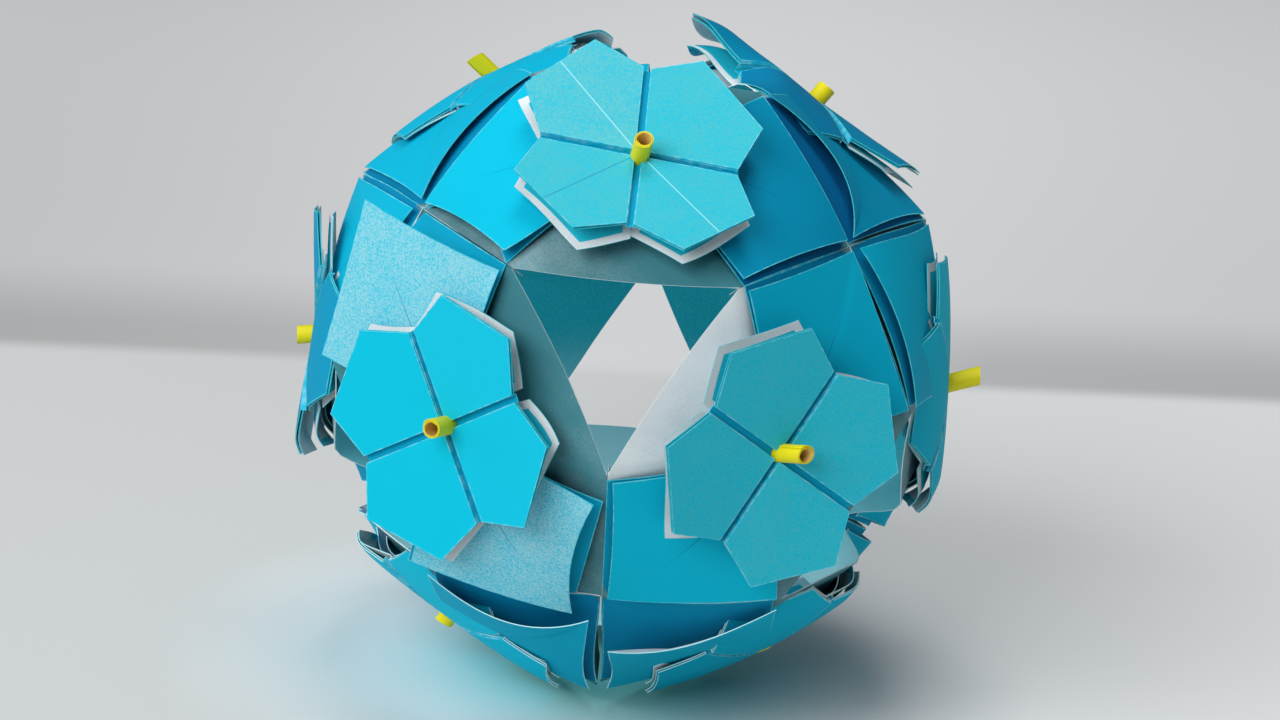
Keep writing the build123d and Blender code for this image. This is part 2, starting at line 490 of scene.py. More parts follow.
def turquoise_paper(colours):
    """Coloured side: an even turquoise with painted shade, painted sheen in fine pale fibres, and creases
    where they are marked.
    """
    paint = Paint("turquoise_paper")
    fibres = paint.noise(FIBRE, 3.0)
    clouds = paint.noise(CLOUD)
    flat = paint.node("ShaderNodeUVMap", {"uv_map": "sheet"}, {})
    across = paint.coordinate(flat, "Y").math("ABSOLUTE")
    crease = paint.mark("crease")
    painted_light = paint.mark("painted_light")
    # A marked crease is a pale worn line above 0 and a line of painted shade below 0
    line = 1 - across.clipped(0.04, 0.16)
    pale = crease.math("MAXIMUM", 0) * line
    dark = (crease * -1).math("MAXIMUM", 0) * line
    # Painted sheen: pale fibres, more of them the higher a sheet's painted light is above 0
    amount = (painted_light * 1.8).math("MAXIMUM", 0).math("MINIMUM", 1.15)
    sheen_speckle = fibres.clipped(0.35, 0.62) * 0.45 + clouds.clipped(0.3, 0.75) * 0.12 + 0.1
    # Painted shade: darker turquoise as a sheet's painted light falls below 0
    colour = paint.mix((painted_light * -1).math("MAXIMUM", 0), colours.turquoise, colours.painted_shade)
    sheen_fibre = paint.mix(painted_light.clipped(0.5, 0.95), colours.faint_sheen, colours.painted_sheen)
    colour = paint.mix(sheen_speckle * amount, colour, sheen_fibre)
    colour = paint.mix(pale * 0.75, colour, colours.worn)
    colour = paint.mix(dark * 0.55, colour, colours.painted_shade)
    height = fibres - line * crease * 0.8
    normal = paint.bump(height, 0.35)
    return paint.finish(colour, 0.55 + fibres * 0.2, normal, 0.07)


def white_reverse(colours):
    """Back of the paper: white with faint clouds and fibres, and painted shade in grey teal where a
    sheet's painted light asks for it.
    """
    paint = Paint("white_reverse")
    fibres = paint.noise(FIBRE, 3.0)
    clouds = paint.noise(CLOUD)
    # Faint random clouds and fibres, plus each sheet's painted shade from 0 white to 1 shaded
    through = clouds.clipped(0.3, 0.8) * 0.12 + fibres.clipped(0.4, 0.65) * 0.08 + paint.mark("painted_light")
    colour = paint.mix(through.clipped(-0.1, 1.1), colours.white, colours.shaded)
    return paint.finish(colour, 0.6 + fibres * 0.2, paint.bump(fibres, 0.3), 0.2)


def inside_paper(colours):
    """Coloured side of the base where it lines the hollow, a teal copy of the turquoise with painted
    light: paler low in the ball, and emitted painted light.
    """
    paint = Paint("inside_paper")
    fibres = paint.noise(FIBRE, 3.0)
    # Painted light: the lining is paler and emits more light lower in the ball
    low = 1 - paint.coordinate(paint.place, "Z").clipped(12 * MM, 42 * MM)
    colour = paint.mix(fibres.clipped(0.35, 0.65) * 0.5, colours.lining, colours.lining_fibre)
    colour = paint.mix(low * 0.8, colour, colours.low_lit_lining)
    painted_glow = paint.mix(low, colours.painted_glow, colours.low_painted_glow)
    return paint.finish(colour, 0.6, paint.bump(fibres, 0.3), 0.1, painted_glow)


def fold_line(colours):
    """Worn line along a fold, where the colour has cracked."""
    paint = Paint("fold_line")
    wear = paint.noise(1.2 * MM, 3.0)
    colour = paint.mix(wear.clipped(0.35, 0.7) * 0.5, colours.turquoise, colours.worn)
    return paint.finish(colour, 0.5, paint.bump(wear, 0.2))


def raw_edge(colours):
    """Cut edge of the paper."""
    paint = Paint("raw_edge")
    wear = paint.noise(1.0 * MM, 3.0)
    colour = paint.mix(wear.clipped(0.3, 0.8) * 0.35, colours.white, colours.worn)
    return paint.finish(colour, 0.6, paint.bump(wear, 0.2), 0.25)


def yellow_paper(colours):
    """Yellow paper of the stamens, a little streaked along the roll."""
    paint = Paint("yellow_paper")
    fibres = paint.noise(FIBRE, 3.0)
    colour = paint.mix(fibres.clipped(0.45, 0.8) * 0.3, colours.yellow, colours.yellow_fibre)
    return paint.finish(colour, 0.5, paint.bump(fibres, 0.3))


def inner_yellow(colours):
    """Bore and cut ends of the stamens."""
    paint = Paint("inner_yellow")
    fibres = paint.noise(FIBRE, 3.0)
    colour = paint.mix(fibres.clipped(0.4, 0.8) * 0.5, colours.tan, colours.tan_fibre)
    return paint.finish(colour, 0.6, paint.bump(fibres, 0.3), 0.25)


def stage_paint(settings):
    """Matt table that changes colour along a line behind the ball, where a wall seems to stand, with
    painted light and shade on the table and the wall.
    """
    paint = Paint("stage_paint")
    across = paint.coordinate(paint.place, "X")
    depth = paint.coordinate(paint.place, "Y") * math.cos(settings.wall_turn)
    depth = depth - across * math.sin(settings.wall_turn) - settings.wall
    from_foot = paint.node(
        "ShaderNodeVectorMath", {"operation": "LENGTH"}, [paint.place], output="Value")
    # Painted shade along the wall's foot, beside the ball
    near_line = 1 - depth.clipped(10 * MM, 60 * MM)
    beside_ball = across.math("ABSOLUTE").clipped(20 * MM, 60 * MM)
    wall = paint.mix(near_line * beside_ball * 0.92, settings.wall_colour, settings.wall_foot_shade)
    # Painted light and shade on the wall: lighter further back, darker towards the left and the right
    far_back_light = depth.clipped(20 * MM, 280 * MM)
    wall = paint.mix(far_back_light * 0.33, wall, WHITE)
    far_left_shade = 1 - across.clipped(-150 * MM, 10 * MM)
    wall = paint.mix(far_left_shade * 0.20, wall, BLACK)
    far_right_shade = across.clipped(20 * MM, 130 * MM)
    wall = paint.mix(far_right_shade * 0.05, wall, BLACK)
    # Painted light on the floor to the right, which lightens the ball's shadow there
    right = across.clipped(5 * MM, 60 * MM)
    floor = paint.mix(right * 0.4, settings.floor_colour, WHITE)
    # Painted pool of light on the floor to the left of the ball, thrown by its lit side
    lit = (1 - from_foot.clipped(30 * MM, 72 * MM)) * (1 - across.clipped(-25 * MM, 5 * MM))
    floor = paint.mix(lit, floor, settings.bounce_light_colour)
    # Painted shadow round the ball's foot, with a painted turquoise reflection
    foot = 1 - from_foot.clipped(8 * MM, 38 * MM)
    floor = paint.mix(foot, floor, settings.foot_shadow_colour)
    grain = paint.noise(FIBRE)
    colour = paint.mix(depth.clipped(-4 * MM, 5 * MM), floor, wall)
    return paint.finish(colour, 0.9, paint.bump(grain, 0.02, 0.1 * MM), 0.1)


def cut(place, normal, clear):
    """Cuts all that is in edit mode along a plane, and clears what lies outside it."""
    bpy.ops.mesh.select_all(action="SELECT")
    bpy.ops.mesh.bisect(
        plane_co=place, plane_no=normal, clear_outer=clear, threshold=NEAR / 10)


def sides(outline):
    """Start and outward normal of each side of an outline that runs anticlockwise."""
    points = [Vector((x, y, 0)) for x, y in outline]
    for start, end in zip(points, points[1:] + points[:1]):
        along = (end - start).normalized()
        yield start, Vector((along.y, -along.x, 0))


def cut_sheet(name, outline, cell, bands, papers):
    """A flat sheet cut out of a grid. Each band is its width and the paper that it shows."""
    xs, ys = zip(*outline)
    width, depth = max(xs) - min(xs), max(ys) - min(ys)
    bpy.ops.object.select_all(action="DESELECT")
    bpy.ops.mesh.primitive_grid_add(
        x_subdivisions=math.ceil(width / cell), y_subdivisions=math.ceil(depth / cell), size=1,
        location=((max(xs) + min(xs)) / 2, (max(ys) + min(ys)) / 2, 0))
    sheet = bpy.context.object
    sheet.name = name
    sheet.scale = (width, depth, 1)
    bpy.ops.object.transform_apply()
    for paper in papers:
        sheet.data.materials.append(paper)
    bpy.ops.object.mode_set(mode="EDIT")
    for start, outward in sides(outline):
        cut(start, outward, True)
    for band, _ in bands:
        for start, outward in sides(outline):
            cut(start - outward * band, outward, False)
    bpy.ops.object.mode_set(mode="OBJECT")
    for face in sheet.data.polygons:
        inset = min((start - face.center).dot(outward) for start, outward in sides(outline))
        face.material_index = next((paper for band, paper in bands if inset < band), FACE)
    mark_flat(sheet.data)
    return sheet


def mark_flat(mesh, turn=0.0):
    """Keeps a sheet's flat places, in millimetres, as its UV map, turned to put creases on its axis."""
    while mesh.uv_layers:
        mesh.uv_layers.remove(mesh.uv_layers[0])
    layer = mesh.uv_layers.new(name="sheet")
    cos, sin = math.cos(turn), math.sin(turn)
    for loop in mesh.loops:
        x, y, _ = mesh.vertices[loop.vertex_index].co / MM
        layer.data[loop.index].uv = (x * cos + y * sin, y * cos - x * sin)


def fold_down(sheet, line, depth):
    """Folds the sheet's edge on a line down by a depth. The line is an axis and a place on it."""
    axis, place = line
    bpy.ops.object.select_all(action="DESELECT")
    bpy.context.view_layer.objects.active = sheet
    bpy.ops.object.mode_set(mode="EDIT")
    bpy.ops.mesh.select_mode(type="EDGE")
    bpy.ops.mesh.select_all(action="DESELECT")
    bpy.ops.object.mode_set(mode="OBJECT")
    vertices = sheet.data.vertices
    for edge in sheet.data.edges:
        ends = [vertices[i].co for i in edge.vertices]
        edge.select = all(abs(end[axis] - place) < NEAR and abs(end.z) < NEAR for end in ends)
    bpy.ops.object.mode_set(mode="EDIT")
    bpy.ops.mesh.extrude_region_move(TRANSFORM_OT_translate={"value": (0, 0, -depth)})
    bpy.ops.object.mode_set(mode="OBJECT")


def laid(master, form, painted_light=0.0, crease=0.0):
    """A copy of a sheet with its own mesh, laid by a form that takes flat places to folded ones."""
    mesh = master.data.copy()
    flat = np.empty(len(mesh.vertices) * 3)
    mesh.vertices.foreach_get("co", flat)
    flat = flat.reshape(-1, 3)
    mesh.vertices.foreach_set("co", form(flat).ravel())
    # Each sheet carries its painted light: painted shade below 0 and painted sheen above it on the
    # coloured side, painted shade from 0 to 1 on the back
    for name, value in (("crease", crease), ("painted_light", painted_light)):
        marks = mesh.attributes.new(name, "FLOAT", "POINT")
        marks.data.foreach_set("value", value(flat) if callable(value) else np.full(len(flat), value))
    mesh.update()
    sheet = bpy.data.objects.new(master.name, mesh)
    bpy.context.scene.collection.objects.link(sheet)
    return sheet


def thicken(sheet, ply, papers):
    """Gives a sheet its thickness. The papers are those of its front, its back and its edge."""
    front, back, edge = papers
    bpy.ops.object.select_all(action="DESELECT")
    bpy.context.view_layer.objects.active = sheet
    solidify = sheet.modifiers.new("thickness", "SOLIDIFY")
    solidify.thickness = ply
    solidify.offset = -1
    solidify.use_even_offset = True
    solidify.material_offset = back - front
    solidify.material_offset_rim = edge - front
    bpy.ops.object.modifier_apply(modifier="thickness")


def joined(name, sheets, turn):
    """One object of several sheets, with its place in its mesh."""
    bpy.ops.object.select_all(action="DESELECT")
    for sheet in sheets:
        sheet.select_set(True)
    piece = sheets[0]
    bpy.context.view_layer.objects.active = piece
    bpy.ops.object.join()
    piece.name = name
    piece.data.transform(turn)
    bpy.ops.object.shade_smooth_by_angle(angle=SHARP)
    return piece


def waves(seed, size):
    """A gentle unevenness of hand-folded paper, as a function of flat places."""
    draw = random.Random(seed)
    spread = WAVE_SPREAD * MM
    parts = [
        (draw.uniform(-1, 1) / spread, draw.uniform(-1, 1) / spread, draw.uniform(0, WAVE_STARTS))
        for _ in range(WAVES)
    ]

    def height(x, y):
        return size / WAVES * sum(np.sin(a * x + b * y + c) for a, b, c in parts)

    return height


def flower_lie(sizes, key):
    """Height of a flower over its flat place, where share is how much of the rise it takes."""
    rise, droop = FLOWER_LIES.get(key, USUAL_LIE)
    sag_x, sag_y = FLOWER_SAGS.get(key, (0, 0))
    sag = math.hypot(sag_x, sag_y)

    def height(x, y, share=1.0):
        along, across = x / sizes.groove_length, y / sizes.groove_length
        bowed = np.where(across < 0, 0, across) if key[0] == "lower" else across
        pressed = np.clip(along * sag_x + across * sag_y, 0, None) ** 2 / max(sag, 1)
        drooped = droop * (along**2 + bowed**2)
        return MM * (rise * share * np.abs(across) - drooped - SAG_SHARE * pressed)

    return height


def flower_form(sizes, lie, turns, quadrant, drop, share, slack, seed, turn=0.0, reach=0.0, ruffle=0.0):
    """Lays one petal: its quarter of the flower, the lie of both grooves, and how it rises."""
    long_turn, cross_turn = (math.radians(angle) for angle in turns)
    quarter = quadrant * math.pi / 2 + math.radians(turn)
    wave = waves(seed, PETAL_WAVE * MM)
    frills = [waves(f"{seed} frill {axis}", ruffle * MM) for axis in "xyz"]
    pitch = FRILL_PITCH

    def form(flat):
        x, y, z = flat.T
        outer = (np.hypot(x, y) / sizes.petal_long) ** 2
        x, y, z = (
            old + frill(pitch * x, pitch * y) * outer for old, frill in zip((x, y, z), frills))
        x, y = x + reach, y + reach
        x, y = x * math.cos(quarter) - y * math.sin(quarter), x * math.sin(quarter) + y * math.cos(quarter)
        laid_x = x * math.cos(long_turn) - y * math.sin(cross_turn)
        laid_y = x * math.sin(long_turn) + y * math.cos(cross_turn)
        tilt = slack * MM * np.hypot(x, y) ** 2 / sizes.petal_long**2
        height = sizes.flower_reach - drop + z + lie(x, y, share) + tilt + wave(x, y)
        return np.stack((laid_x, laid_y, height), axis=1)

    return form


def drawn_back(sizes, x, y, bow):
    """Draws the outer edge on one side of a flap back from the seam, most in its middle."""
    half, tip = sizes.flap_half, sizes.flap_length
    length = math.hypot(tip - half, half)
    out_x, out_y = half / length, (tip - half) / length
    along = ((x - half) * out_y - (y - half) * out_x) / length
    inside = -((x - half) * out_x + (y - half) * out_y)
    fade = np.exp(-np.clip(inside, 0, None) / (BOW_REACH * MM))
    amount = 4 * np.clip(along, 0, 1) * np.clip(1 - along, 0, 1) * fade
    amount = bow * MM * np.where(y > 0, amount, 0)
    return x - amount * out_x, y - amount * out_y, amount


def flap_form(sizes, side, lifts, bows, drop, seed):
    """Lays one leaf of an end flap, bent over the ball and lifted at its corners."""
    turn, bend, plus, minus, tip = lifts
    plus_bow, minus_bow = bows if side > 0 else bows[::-1]
    turn = math.radians(turn)
    radius = sizes.flap_bend / bend
    wave = waves(seed, FLAP_WAVE * MM)
    if side < 0:
        plus, minus = minus, plus

    def form(flat):
        x, y, _ = flat.T
        half = sizes.flap_half
        lift = plus * MM * (np.clip(y / half, 0, 1) * np.clip(x / half, 0, 1)) ** 2
        lift += minus * MM * (np.clip(-y / half, 0, 1) * np.clip(x / half, 0, 1)) ** 2
        lift += tip * MM * np.clip((x - half) / (sizes.flap_length - half), 0, 1) ** 2
        x, y, curl = drawn_back(sizes, x, y, plus_bow)
        x, y, other_curl = drawn_back(sizes, x, -y, minus_bow)
        y = -y
        lift += CURL_SHARE * (curl + other_curl)
        x, y = x * math.cos(turn) - y * math.sin(turn), x * math.sin(turn) + y * math.cos(turn)
        angle = x / radius
        bent_x = radius * np.sin(angle) + lift * np.sin(angle)
        height = sizes.flower_reach - drop - radius * (1 - np.cos(angle)) + lift * np.cos(angle)
        height += wave(x, y) * np.clip(x / half, 0, 1)
        return np.stack((side * bent_x, side * y, height), axis=1)

    return form


def base_sheet(sizes, papers):
    """The saddle shaped base: a fan of six panels with hems folded inwards round its edge."""
    half_seam = 0.06 * MM
    slope = math.sqrt(0.5)
    side = sizes.opening_side / 2
    top = (side + math.sqrt(6 * sizes.corner_reach**2 - 8 * side**2)) / 3
    out = (top - side) * slope - half_seam
    end = sizes.junction_reach * slope
    rim = [
        (side, out, top),
        (-side, out, top),
        (half_seam - end, 0, end),
        (-side, -out, top),
        (side, -out, top),
        (end - half_seam, 0, end),
    ]
    bpy.ops.object.select_all(action="DESELECT")
    bpy.ops.mesh.primitive_circle_add(vertices=6, radius=1, fill_type="TRIFAN")
    base = bpy.context.object
    base.name = "base_sheet"
    for vertex in base.data.vertices:
        if vertex.co.length < 0.5:
            vertex.co = (0, 0, sizes.flower_reach - sizes.base_drop)
        else:
            turn = math.degrees(math.atan2(vertex.co.y, vertex.co.x)) % 360
            vertex.co = rim[round((turn - 30) / 60) % 6]
    bpy.ops.object.mode_set(mode="EDIT")
    bpy.ops.mesh.select_mode(type="EDGE")
    bpy.ops.mesh.select_all(action="SELECT")
    bpy.ops.mesh.subdivide(number_cuts=BASE_CUTS)
    bpy.ops.mesh.select_all(action="SELECT")
    bpy.ops.mesh.normals_make_consistent(inside=False)
    bpy.ops.mesh.select_all(action="DESELECT")
    bpy.ops.object.mode_set(mode="OBJECT")
    for edge in base.data.edges:
        ends = [base.data.vertices[i].co for i in edge.vertices]
        lies = [abs(abs(co.y) - (co.z - abs(co.x)) * slope + half_seam) for co in ends]
        edge.select = max(lies) < NEAR
    bpy.ops.object.mode_set(mode="EDIT")
    bpy.ops.mesh.extrude_region_move(TRANSFORM_OT_translate={"value": (0, 0, 0)})
    share = 1 - sizes.hem_share
    bpy.ops.transform.resize(value=(share, share, share), center_override=(0, 0, 0))
    bpy.ops.object.mode_set(mode="OBJECT")
    if base.data.polygons[0].normal.z < 0:
        base.data.flip_normals()
    for paper in papers:
        base.data.materials.append(paper)
    for face in base.data.polygons:
        face.material_index = REVERSE
    mark_flat(base.data)
    return base


def sheet_masters(sizes, papers):
    """The flat sheets from which every unit is folded."""
    gap = sizes.groove_width / 2
    leaf_cell, ply_cell = sizes.cell * 1.2, sizes.cell * 1.5
    petal = [
        (gap, gap),
        (sizes.groove_length, gap),
        (sizes.petal_long, sizes.petal_short),
        (sizes.petal_short, sizes.petal_long),
        (gap, sizes.groove_length),
    ]
    fold = [(sizes.fold_width, FOLD)]
    masters = {
        "petal": cut_sheet("petal", petal, sizes.cell, fold, papers),
        "second_ply": cut_sheet("second_ply", petal, ply_cell, fold, papers),
        "under_leaf": cut_sheet(
            "under_leaf", petal, sizes.cell, [(sizes.white_band, REVERSE)], papers),
    }
    fold_down(masters["petal"], (0, gap), sizes.groove_depth)
    fold_down(masters["petal"], (1, gap), sizes.groove_depth)
    mark_flat(masters["petal"].data, math.radians(45))
    for name, lip in (("upper_leaf", 0), ("lower_leaf", sizes.leaf_lip)):
        half, tip = sizes.flap_half + lip, sizes.flap_length + lip
        kite = [(0, 0), (half, -half), (tip, 0), (half, half)]
        masters[name] = cut_sheet(name, kite, leaf_cell, fold, papers)
    reach, width = sizes.groove_length, gap + sizes.ply
    strip = [(-reach, -width), (reach, -width), (reach, width), (-reach, width)]
    masters["groove_floor"] = cut_sheet("groove_floor", strip, sizes.cell, [], papers)
    masters["base_sheet"] = base_sheet(sizes, papers)
    return masters


def groove_form(sizes, lie, turns, cross):
    """Lays the floor of one groove, under the gap between the petals. The cross one is on top."""
    turn = math.radians(turns[1] + 90 if cross else turns[0])
    drop = sizes.groove_depth
    step = 0.03 * MM if cross else 0

    def form(flat):
        x, y, _ = flat.T
        rise = lie(0 * x, x) if cross else lie(x, 0 * x)
        height = sizes.flower_reach - drop + rise + step
        x, y = x * math.cos(turn) - y * math.sin(turn), x * math.sin(turn) + y * math.cos(turn)
        return np.stack((x, y, height), axis=1)

    return form


def base_form(seed):
    """Leaves the base as it was folded, with a gentle unevenness and its long edges bowed."""
    wave = waves(seed, BASE_WAVE * MM)
    wave_end, bow_end, bow_side = 14 * MM, 16 * MM, 18 * MM

    def form(flat):
        x, y, z = flat.T
        inner = np.clip(1 - np.abs(x) / wave_end, 0, 1)
        bow = BASE_BOW * MM * np.clip(1 - (x / bow_end) ** 2, 0, 1) * (y / bow_side) ** 2
        return np.stack((x, y + np.sign(y) * bow, z + wave(x, y) * inner), axis=1)

    return form


def loose_places(turn):
    """Where the ball came loose and how far it moved there, in the frame of one unit."""
    frames = unit_frames()
    into = turn.to_3x3().transposed()
    return [
        [np.array(into @ frames[key].to_3x3() @ Vector(vector)) * MM for vector in (place, pull)]
        for key, place, pull in LOOSE_PLACES
    ]


def unit_bend(key, turn, seed):
    """What handling did to a whole unit: a crumple, and places that came loose."""
    crumple = 0 if key in FRONT_UNITS else CRUMPLE * MM
    bumps = [waves(f"{seed} bend {axis}", crumple) for axis in "xyz"]
    pitch = CRUMPLE_PITCH
    loose = loose_places(turn)

    def bend(places):
        x, y, _ = places.T
        moved = places + np.stack([bump(pitch * x, pitch * y) for bump in bumps], axis=1)
        for place, pull in loose:
            near = np.clip(1 - np.linalg.norm(places - place, axis=1) / (LOOSE_REACH * MM), 0, 1)
            moved += np.outer(near**2 * (3 - 2 * near), pull)
        return moved

    return bend


def add_flower(sizes, key, seed, draw, add):
    """Adds both plies of the four petals, the pale leaf under each, and the grooves' floors."""
    turns = FLOWER_TURNS.get(key, (draw.uniform(-5, 5), draw.uniform(-3, 3)))
    lie = flower_lie(sizes, key)
    tones = PETAL_SHADE_AND_SHEEN.get(key, USUAL_PETAL_SHADE_AND_SHEEN)
    most_slack = 0 if key[0] == "lower" else PETAL_SLACK
    for quadrant in range(4):
        share = draw.uniform(0.9, 1.1)
        slack = 0 if key in FRONT_UNITS else draw.uniform(-PETAL_SLACK, most_slack)
        form = flower_form(sizes, lie, turns, quadrant, 0, share, slack, f"{seed} petal {quadrant}")
        add("petal", form, (FACE, REVERSE, FOLD), tones[quadrant], CREASES.get((*key, quadrant), 0))
        turn = draw.uniform(-0.6, 0.6)
        reach = draw.uniform(-0.1, 0.12) * MM
        rise, hang = PLY_SHARES
        form = flower_form(
            sizes, lie, turns, quadrant, PLY_DROP * MM, share * rise, slack * hang,
            f"{seed} ply {quadrant}", turn, reach)
        add("second_ply", form, (FACE, REVERSE, RAW), PLY_SHEEN)
        drop = sizes.under_drop * draw.uniform(0.8, 1.2)
        turn = draw.uniform(-4, 4)
        reach = draw.uniform(-0.5, 0.1) * MM
        rise, hang = UNDER_SHARES
        form = flower_form(
            sizes, lie, turns, quadrant, drop, share * rise, slack * hang,
            f"{seed} under {quadrant}", turn, reach, FRILL)
        add("under_leaf", form, (FACE, REVERSE, RAW), UNDER_SHEEN)
    for cross in (False, True):
        form = groove_form(sizes, lie, turns, cross)
        add("groove_floor", form, (FACE, REVERSE, FOLD), GROOVE_SHADE)


def fading_crease_shade(flat):
    """Painted shade along a crease down the middle of a flap, which fades out before its tip."""
    end, fade = 25 * MM, 8 * MM
    return -np.clip((end - flat[:, 0]) / fade, 0, 1)


def add_flaps(sizes, key, seed, draw, add):
    """Adds both leaves of each end flap, the lower one always in shade."""
    back = FACE if key in FRONT_UNITS else REVERSE
    for side in (1, -1):
        usual = (draw.uniform(-1.5, 1.5), draw.uniform(0.8, 1), 0, 0, 0)
        lifts = FLAP_LIFTS.get((*key, side), usual)
        painted_light = FLAP_SHADE_AND_SHEEN.get((*key, side), USUAL_FLAP_SHADE_AND_SHEEN)
        bows = FLAP_BOWS.get((*key, side), USUAL_BOWS)
        form = flap_form(sizes, side, lifts, bows, sizes.flap_drop, f"{seed} flap {side}")
        add("upper_leaf", form, (FACE, back, FOLD), painted_light, fading_crease_shade)
        turn = LOWER_LEAF_TURNS.get((*key, side), draw.uniform(-0.5, 0.5))
        lifts = (turn, LOWER_LEAF_BEND, 0, 0, 0)
        bows = LOWER_LEAF_BOWS.get((*key, side), (0, 0))
        drop = sizes.flap_drop + sizes.leaf_gap
        form = flap_form(sizes, side, lifts, bows, drop, f"{seed} lower {side}")
        # The lower leaf is painted LEAF_SHADE darker than the upper one, or than 0, as shade
        add("lower_leaf", form, (FACE, FACE, RAW), min(painted_light, 0) - LEAF_SHADE)


def base_shade(key):
    """Painted shade of a base over its flat places."""
    low, high = BASE_SHADES.get(key, USUAL_BASE_SHADES)
    tones = (max(low, END_TONE), low, high, max(high, END_TONE))
    back_tone = BACK_SHADES.get(key, 0)

    def shade(flat):
        usual = np.interp(flat[:, 0] / MM, TONE_PLACES, tones)
        return np.where(flat[:, 1] < BACK_EDGE * MM, np.maximum(usual, back_tone), usual)

    return shade


def unit_sheets(sizes, masters, key, turn, seed):
    """The sheets of one folded unit, in the unit's own frame."""
    draw = random.Random(seed)
    bend = unit_bend(key, turn, seed)
    sheets = []

    def add(master, form, papers, painted_light, crease=0.0):
        sheet = laid(masters[master], lambda flat: bend(form(flat)), painted_light, crease)
        thicken(sheet, sizes.ply, papers)
        sheets.append(sheet)

    add_flower(sizes, key, seed, draw, add)
    add_flaps(sizes, key, seed, draw, add)
    add("base_sheet", base_form(f"{seed} base"), (REVERSE, INSIDE, RAW), base_shade(key))
    return sheets


class HYDRANGEA_OT_paper_units(bpy.types.Operator):
    """Folds the twelve paper units of the ball, each from its own sheets"""

    bl_idname = "hydrangea.paper_units"
    bl_label = "Paper units"

    def execute(self, context):
        sizes = context.scene.hydrangea_paper
        colours = context.scene.hydrangea_colours
        kinds = (turquoise_paper, white_reverse, fold_line, raw_edge, inside_paper)
        papers = [paper(colours) for paper in kinds]
        masters = sheet_masters(sizes, papers)
        for (ring, number), turn in unit_frames().items():
            sheets = unit_sheets(sizes, masters, (ring, number), turn, f"{ring} {number}")
            unit = joined(f"folded_unit_{ring}_{number}", sheets, turn)
            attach(unit, "root")
            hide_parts(f"{ring}_flower_{number}")
        for master in masters.values():
            bpy.data.objects.remove(master)
        return {"FINISHED"}


def rolled_form(sizes, lean, trim, seed):
    """Rolls a flat strip, less high by its trim, up into a tube that leans a little."""
    draw = random.Random(seed)
    start = draw.uniform(0, 2 * math.pi)
    pitch = (sizes.diameter - sizes.bore) / 2 / sizes.turns
    lean_x, lean_y = (math.tan(math.radians(angle)) for angle in lean)

    def form(flat):
        along, up, _ = flat.T
        angle = along * sizes.turns * 2 * math.pi
        radius = sizes.bore / 2 + sizes.paper + pitch * angle / (2 * math.pi)
        height = up * (sizes.proud + sizes.rooted - trim)
        skew = height + ROLL_SKEW * MM * np.sin(angle + start) * up
        x = radius * np.cos(angle + start) + height * lean_x
        y = radius * np.sin(angle + start) + height * lean_y
        return np.stack((x, y, skew), axis=1)

    return form


class HYDRANGEA_OT_stamens(bpy.types.Operator):
    """Rolls a stamen for each flower from a strip of yellow paper"""

    bl_idname = "hydrangea.stamens"
    bl_label = "Stamens"

    def execute(self, context):
        sizes = context.scene.hydrangea_stamens
        paper = context.scene.hydrangea_paper
        colours = context.scene.hydrangea_colours
        papers = [inner_yellow(colours), yellow_paper(colours)]
        square = [(0, 0), (1, 0), (1, 1), (0, 1)]
        strip = cut_sheet("strip", square, 1 / STRIP_CELLS, [], papers)
        for (ring, number), turn in unit_frames().items():
            draw = random.Random(f"lean {ring} {number}")
            usual = (draw.uniform(-8, 8), draw.uniform(-8, 8), USUAL_SUNK)
            *lean, sunk = STAMEN_LEANS.get((ring, number), usual)
            trim = max(sunk - STAMEN_ROOM, 0)
            stamen = laid(strip, rolled_form(sizes, lean, trim * MM, f"{ring} {number}"))
            stamen.data.flip_normals()
            thicken(stamen, sizes.paper, (BORE, OUTSIDE, OUTSIDE))
            foot = paper.flower_reach - sizes.rooted - (sunk - trim) * MM
            stand = turn @ Matrix.Translation((0, 0, foot))
            stamen = joined(f"rolled_stamen_{ring}_{number}", [stamen], stand)
            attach(stamen, "root")
            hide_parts(f"{ring}_stamen_{number}")
        bpy.data.objects.remove(strip)
        return {"FINISHED"}


# Length of the table's sides, in metres
TABLE = 16

# Each lamp's azimuth and elevation round the ball, in degrees, its distance, width and depth,
# in metres, and its power, in watts
LAMPS = {
    "window": (234, 32, 2.4, 2.0, 1.5, 50),
    "side_window": (173, 16, 1.1, 0.5, 0.5, 2.0),
    "ceiling": (90, 88, 1.0, 0.5, 0.5, 4.5),
}


def add_lamp(name, place, aim, width, depth, power):
    """A soft rectangular lamp that faces a point."""
    lamp = bpy.data.lights.new(name, "AREA")
    lamp.shape = "RECTANGLE"
    lamp.size, lamp.size_y = width, depth
    lamp.energy = power
    holder = bpy.data.objects.new(name, lamp)
    holder.location = place
    holder.rotation_euler = (aim - place).to_track_quat("-Z", "Y").to_euler()
    bpy.context.scene.collection.objects.link(holder)


def around(centre, azimuth, elevation, distance):
    """A place seen from the centre: azimuth turns from +X towards +Y, in degrees."""
    azimuth, elevation = math.radians(azimuth), math.radians(elevation)
    return centre + distance * Vector((
        math.cos(azimuth) * math.cos(elevation), math.sin(azimuth) * math.cos(elevation),
        math.sin(elevation)))


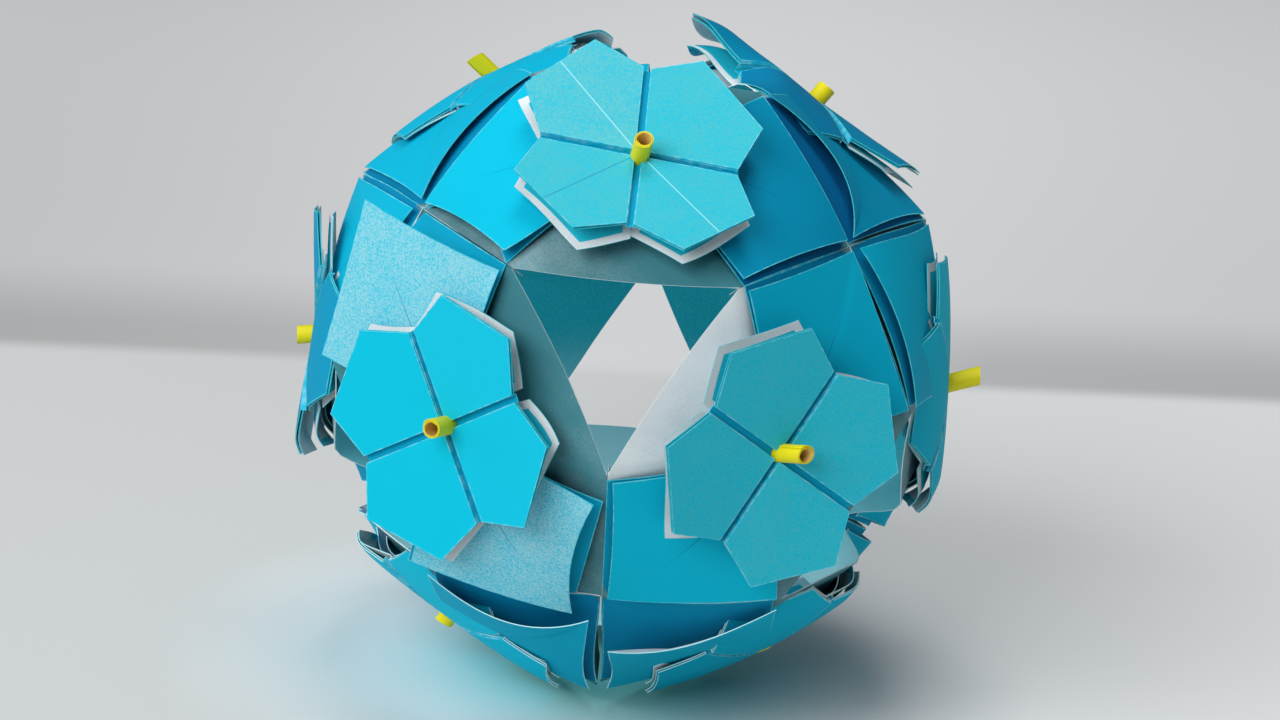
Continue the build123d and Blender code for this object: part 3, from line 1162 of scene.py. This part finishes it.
class HYDRANGEA_OT_stage(bpy.types.Operator):
    """Sets up the table, the camera, the lamps and the room"""

    bl_idname = "hydrangea.stage"
    bl_label = "Stage"

    def execute(self, context):
        settings = context.scene.hydrangea_stage
        centre = ball_centre()
        self.add_floor(settings)
        self.add_camera(settings, centre)
        for name, (azimuth, elevation, distance, *shape) in LAMPS.items():
            add_lamp(name, around(centre, azimuth, elevation, distance), centre, *shape)
        self.add_room(context, settings)
        context.scene.view_settings.view_transform = "Standard"
        return {"FINISHED"}

    def add_floor(self, settings):
        """One flat table, so that nothing stands in the way of a view from behind."""
        bpy.ops.mesh.primitive_plane_add(size=TABLE)
        floor = bpy.context.object
        floor.name = "floor"
        floor.data.materials.append(stage_paint(settings))

    def add_room(self, context, settings):
        """Faint light from all round, and a pale room where the camera looks past the table."""
        world = bpy.data.worlds.new("room")
        world.use_nodes = True
        nodes, links = world.node_tree.nodes, world.node_tree.links
        light, seen = nodes["Background"], nodes.new("ShaderNodeBackground")
        light.inputs["Color"].default_value = (*settings.room_light, 1)
        light.inputs["Strength"].default_value = settings.room_strength
        seen.inputs["Color"].default_value = (*settings.room_colour, 1)
        camera_ray, both = nodes.new("ShaderNodeLightPath"), nodes.new("ShaderNodeMixShader")
        links.new(camera_ray.outputs["Is Camera Ray"], both.inputs["Fac"])
        links.new(light.outputs["Background"], both.inputs[1])
        links.new(seen.outputs["Background"], both.inputs[2])
        links.new(both.outputs["Shader"], nodes["World Output"].inputs["Surface"])
        context.scene.world = world

    def add_camera(self, settings, centre):
        """The camera, turned about its own axis as the photograph is."""
        camera = bpy.data.objects.new("camera", bpy.data.cameras.new("camera"))
        camera.data.lens = settings.lens
        camera.data.sensor_width = 36
        camera.data.clip_start = 0.01
        aim = centre + Vector((settings.aim, 0, 0))
        azimuth = math.degrees(settings.azimuth) - 90
        camera.location = around(aim, azimuth, math.degrees(settings.elevation), settings.distance)
        look = (aim - camera.location).to_track_quat("-Z", "Y").to_matrix()
        camera.rotation_euler = (look @ Matrix.Rotation(settings.roll, 3, "Z")).to_euler()
        bpy.context.scene.collection.objects.link(camera)
        bpy.context.scene.camera = camera


class HYDRANGEA_PT_panel(bpy.types.Panel):
    """Lists the pieces of the flower ball"""

    bl_label = "Origami Hydrangea"
    bl_idname = "HYDRANGEA_PT_panel"
    bl_space_type = "VIEW_3D"
    bl_region_type = "UI"
    bl_category = "Hydrangea"

    def draw(self, context):
        for group, operator in (
            ("hydrangea_paper", "hydrangea.paper_units"),
            ("hydrangea_stamens", "hydrangea.stamens"),
            ("hydrangea_stage", "hydrangea.stage"),
        ):
            box = self.layout.box()
            settings = getattr(context.scene, group)
            for name in settings.__annotations__:
                box.prop(settings, name)
            box.operator(operator)
        for name in PaperColours.__annotations__:
            self.layout.prop(context.scene.hydrangea_colours, name)


GROUPS = {
    "hydrangea_paper": PaperSizes,
    "hydrangea_stamens": StamenSizes,
    "hydrangea_colours": PaperColours,
    "hydrangea_stage": StageSettings,
}
CLASSES = [
    *GROUPS.values(),
    HYDRANGEA_OT_paper_units,
    HYDRANGEA_OT_stamens,
    HYDRANGEA_OT_stage,
    HYDRANGEA_PT_panel,
]


def register():
    for cls in CLASSES:
        bpy.utils.register_class(cls)
    for name, group in GROUPS.items():
        setattr(bpy.types.Scene, name, PointerProperty(type=group))


def unregister():
    for name in GROUPS:
        delattr(bpy.types.Scene, name)
    for cls in reversed(CLASSES):
        bpy.utils.unregister_class(cls)


def main():
    register()
    bpy.ops.hydrangea.paper_units()
    bpy.ops.hydrangea.stamens()
    bpy.ops.hydrangea.stage()


if __name__ == "__main__":
    main()
